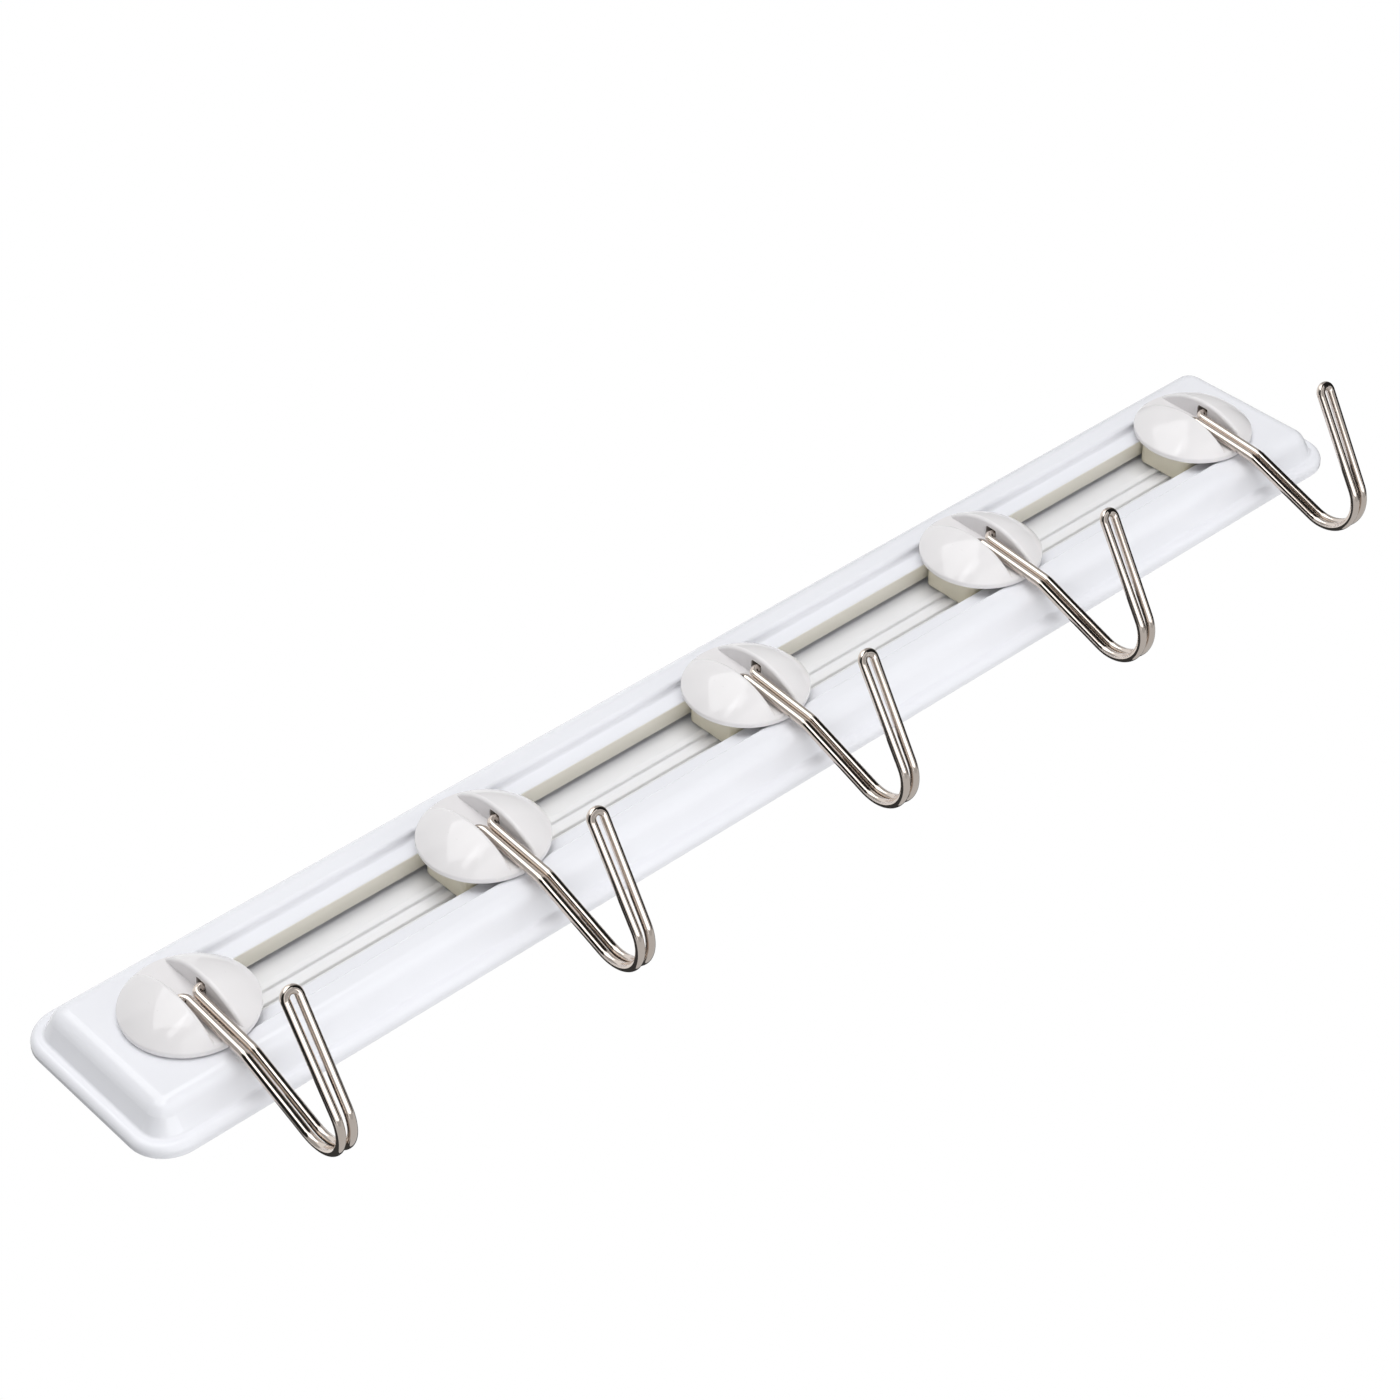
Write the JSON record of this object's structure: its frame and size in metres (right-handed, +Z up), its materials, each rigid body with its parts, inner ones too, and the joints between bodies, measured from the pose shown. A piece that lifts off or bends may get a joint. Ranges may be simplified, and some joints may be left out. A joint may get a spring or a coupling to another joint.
{
  "type": "sliding hook wall rack",
  "caption": "Long white wall rail with a channel in which slotted domed knobs slide, each carrying a swinging two-strand wire hook with a rounded tip.",
  "frame": {"origin": "centre of the rail's back face, on the wall", "axes": "+X along the rail, to the right as one faces the rack; +Y into the wall; +Z up"},
  "size_m": [0.38, 0.0441, 0.0825],
  "materials": {
    "rail_white": "gloss moulded, cool white",
    "plate_white": "satin moulded, white",
    "knob_ivory": "gloss moulded, soft white",
    "wire_nickel": "bright nickel plated"
  },
  "bodies": {
    "rail": {"rail": "rail_white", "back_plate": "plate_white"},
    "carrier_1": {"carrier_1": "knob_ivory"},
    "hook_1": {"hook_1": "wire_nickel"},
    "carrier_2": {"carrier_2": "knob_ivory"},
    "hook_2": {"hook_2": "wire_nickel"},
    "carrier_3": {"carrier_3": "knob_ivory"},
    "hook_3": {"hook_3": "wire_nickel"},
    "carrier_4": {"carrier_4": "knob_ivory"},
    "hook_4": {"hook_4": "wire_nickel"},
    "carrier_5": {"carrier_5": "knob_ivory"},
    "hook_5": {"hook_5": "wire_nickel"}
  },
  "joints": [
    {"name": "carrier_1_slide", "type": "slide", "parent": "rail", "child": "carrier_1", "axis": [1, 0, 0], "range_m": [0, 0.0247]},
    {"name": "hook_1_swing", "type": "hinge", "parent": "carrier_1", "child": "hook_1", "pos_m": [-0.1616, -0.0143, -0.0005], "axis": [-1, 0, 0], "range_deg": [0, 155]},
    {"name": "carrier_2_slide", "type": "slide", "parent": "rail", "child": "carrier_2", "axis": [1, 0, 0], "range_m": [-0.0247, 0.0247]},
    {"name": "hook_2_swing", "type": "hinge", "parent": "carrier_2", "child": "hook_2", "pos_m": [-0.0808, -0.0143, -0.0005], "axis": [-1, 0, 0], "range_deg": [0, 155]},
    {"name": "carrier_3_slide", "type": "slide", "parent": "rail", "child": "carrier_3", "axis": [1, 0, 0], "range_m": [-0.0247, 0.0247]},
    {"name": "hook_3_swing", "type": "hinge", "parent": "carrier_3", "child": "hook_3", "pos_m": [0, -0.0143, -0.0005], "axis": [-1, 0, 0], "range_deg": [0, 155]},
    {"name": "carrier_4_slide", "type": "slide", "parent": "rail", "child": "carrier_4", "axis": [1, 0, 0], "range_m": [-0.0247, 0.0247]},
    {"name": "hook_4_swing", "type": "hinge", "parent": "carrier_4", "child": "hook_4", "pos_m": [0.0808, -0.0143, -0.0005], "axis": [-1, 0, 0], "range_deg": [0, 155]},
    {"name": "carrier_5_slide", "type": "slide", "parent": "rail", "child": "carrier_5", "axis": [1, 0, 0], "range_m": [-0.0247, 0]},
    {"name": "hook_5_swing", "type": "hinge", "parent": "carrier_5", "child": "hook_5", "pos_m": [0.1616, -0.0143, -0.0005], "axis": [-1, 0, 0], "range_deg": [0, 155]}
  ]
}
